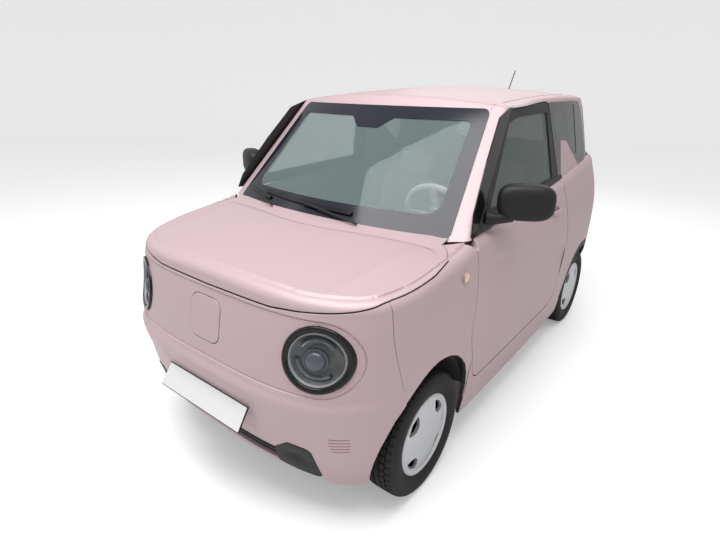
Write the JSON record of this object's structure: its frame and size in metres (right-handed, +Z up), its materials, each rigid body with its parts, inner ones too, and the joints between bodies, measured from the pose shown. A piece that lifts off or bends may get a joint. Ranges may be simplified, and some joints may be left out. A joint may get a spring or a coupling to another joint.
{
  "type": "microcar",
  "caption": "Small electric city car with flat hood, round headlamps in a recessed panel, upright cabin, hinged doors, hood, tailgate and charge flap, and steered front wheels",
  "frame": {"origin": "on the ground below the middle of the car's box", "axes": "+Z up, the nose towards -Y, +X the car's left side"},
  "size_m": [1.88, 3.0648, 1.7199],
  "materials": {
    "body_paint": "satin pearl light pink paint",
    "glass": "tinted glass",
    "black_plastic": "grained black plastic",
    "lamp": "clear lens over a dark bowl",
    "red_lamp": "red lens",
    "tyre": "black rubber",
    "wheel_cover": "silver painted cover",
    "chassis": "black chassis paint",
    "cast": "cast carrier",
    "battery": "plain aluminium housing",
    "seat_cloth": "light grey seat cover",
    "dash": "pale soft-touch plastic",
    "wheel_grip": "pale steering wheel cover",
    "plate": "blank white plate",
    "liner": "wheel well liner"
  },
  "bodies": {
    "chassis": {"body_shell": "body_paint", "cabin_frame": "body_paint", "roof_panel": "body_paint", "front_bumper": "body_paint", "fender_left": "body_paint", "fender_right": "body_paint", "seat_left": "seat_cloth", "seat_right": "seat_cloth", "quarter_glass": "glass", "windscreen": "glass", "rear_bumper": "body_paint", "headlamps": "lamp", "lower_grille": "black_plastic", "number_plate": "plate", "cowl": "black_plastic", "antenna": "black_plastic", "floor_pan": "chassis", "front_subframe": "chassis", "rear_axle": "chassis", "rear_bench": "seat_cloth", "dashboard": "dash", "wheel_liners": "liner", "battery_block": "battery", "charge_port": "black_plastic"},
    "hood": {"hood": "body_paint"},
    "door_left": {"door_left": "body_paint", "door_glass_left": "glass", "mirror_left": "black_plastic"},
    "door_right": {"door_right": "body_paint", "door_glass_right": "glass", "mirror_right": "black_plastic"},
    "tailgate": {"tailgate": "body_paint", "tailgate_glass": "glass", "tail_lamps": "red_lamp"},
    "charge_flap": {"charge_flap": "body_paint"},
    "knuckle_left": {"knuckle_left": "cast"},
    "knuckle_right": {"knuckle_right": "cast"},
    "steering_wheel": {"steering_wheel": "wheel_grip"},
    "road_wheel_front_left": {"wheel_front_left": "wheel_cover", "tyre_front_left": "tyre"},
    "road_wheel_front_right": {"wheel_front_right": "wheel_cover", "tyre_front_right": "tyre"},
    "road_wheel_rear_left": {"wheel_rear_left": "wheel_cover", "tyre_rear_left": "tyre"},
    "road_wheel_rear_right": {"wheel_rear_right": "wheel_cover", "tyre_rear_right": "tyre"}
  },
  "joints": [
    {"name": "door_left_hinge", "type": "hinge", "parent": "chassis", "child": "door_left", "pos_m": [0.768, -0.742, 0.7], "axis": [0, 0, -1], "range_deg": [0, 62]},
    {"name": "door_right_hinge", "type": "hinge", "parent": "chassis", "child": "door_right", "pos_m": [-0.768, -0.742, 0.7], "axis": [0, 0, 1], "range_deg": [0, 62]},
    {"name": "hood_hinge", "type": "hinge", "parent": "chassis", "child": "hood", "pos_m": [0, -0.885, 1.05], "axis": [-1, 0, 0], "range_deg": [0, 60]},
    {"name": "tailgate_hinge", "type": "hinge", "parent": "chassis", "child": "tailgate", "pos_m": [0, 1.362, 1.545], "axis": [1, 0, 0], "range_deg": [0, 75]},
    {"name": "charge_flap_hinge", "type": "hinge", "parent": "chassis", "child": "charge_flap", "pos_m": [0, -1.503, 0.858], "axis": [-1, 0, 0], "range_deg": [0, 95]},
    {"name": "steer_left", "type": "hinge", "parent": "chassis", "child": "knuckle_left", "pos_m": [0.56, -1.0075, 0.2665], "axis": [0, 0, 1], "range_deg": [-33, 33]},
    {"name": "steer_right", "type": "hinge", "parent": "chassis", "child": "knuckle_right", "pos_m": [-0.56, -1.0075, 0.2665], "axis": [0, 0, 1], "range_deg": [-33, 33]},
    {"name": "steering_wheel_turn", "type": "hinge", "parent": "chassis", "child": "steering_wheel", "pos_m": [0.33, -0.33, 0.985], "axis": [0, 0.9063, 0.4226], "range_deg": [-463, 463]},
    {"name": "spin_front_left", "type": "hinge", "parent": "knuckle_left", "child": "road_wheel_front_left", "pos_m": [0.6465, -1.0075, 0.2665], "axis": [1, 0, 0], "continuous": true},
    {"name": "spin_front_right", "type": "hinge", "parent": "knuckle_right", "child": "road_wheel_front_right", "pos_m": [-0.6465, -1.0075, 0.2665], "axis": [1, 0, 0], "continuous": true},
    {"name": "spin_rear_left", "type": "hinge", "parent": "chassis", "child": "road_wheel_rear_left", "pos_m": [0.6465, 1.0075, 0.2665], "axis": [1, 0, 0], "continuous": true},
    {"name": "spin_rear_right", "type": "hinge", "parent": "chassis", "child": "road_wheel_rear_right", "pos_m": [-0.6465, 1.0075, 0.2665], "axis": [1, 0, 0], "continuous": true}
  ],
  "couplings": [
    {"joint": "steer_right", "follows": "steer_left", "ratio": 1},
    {"joint": "steering_wheel_turn", "follows": "steer_left", "ratio": 14}
  ]
}
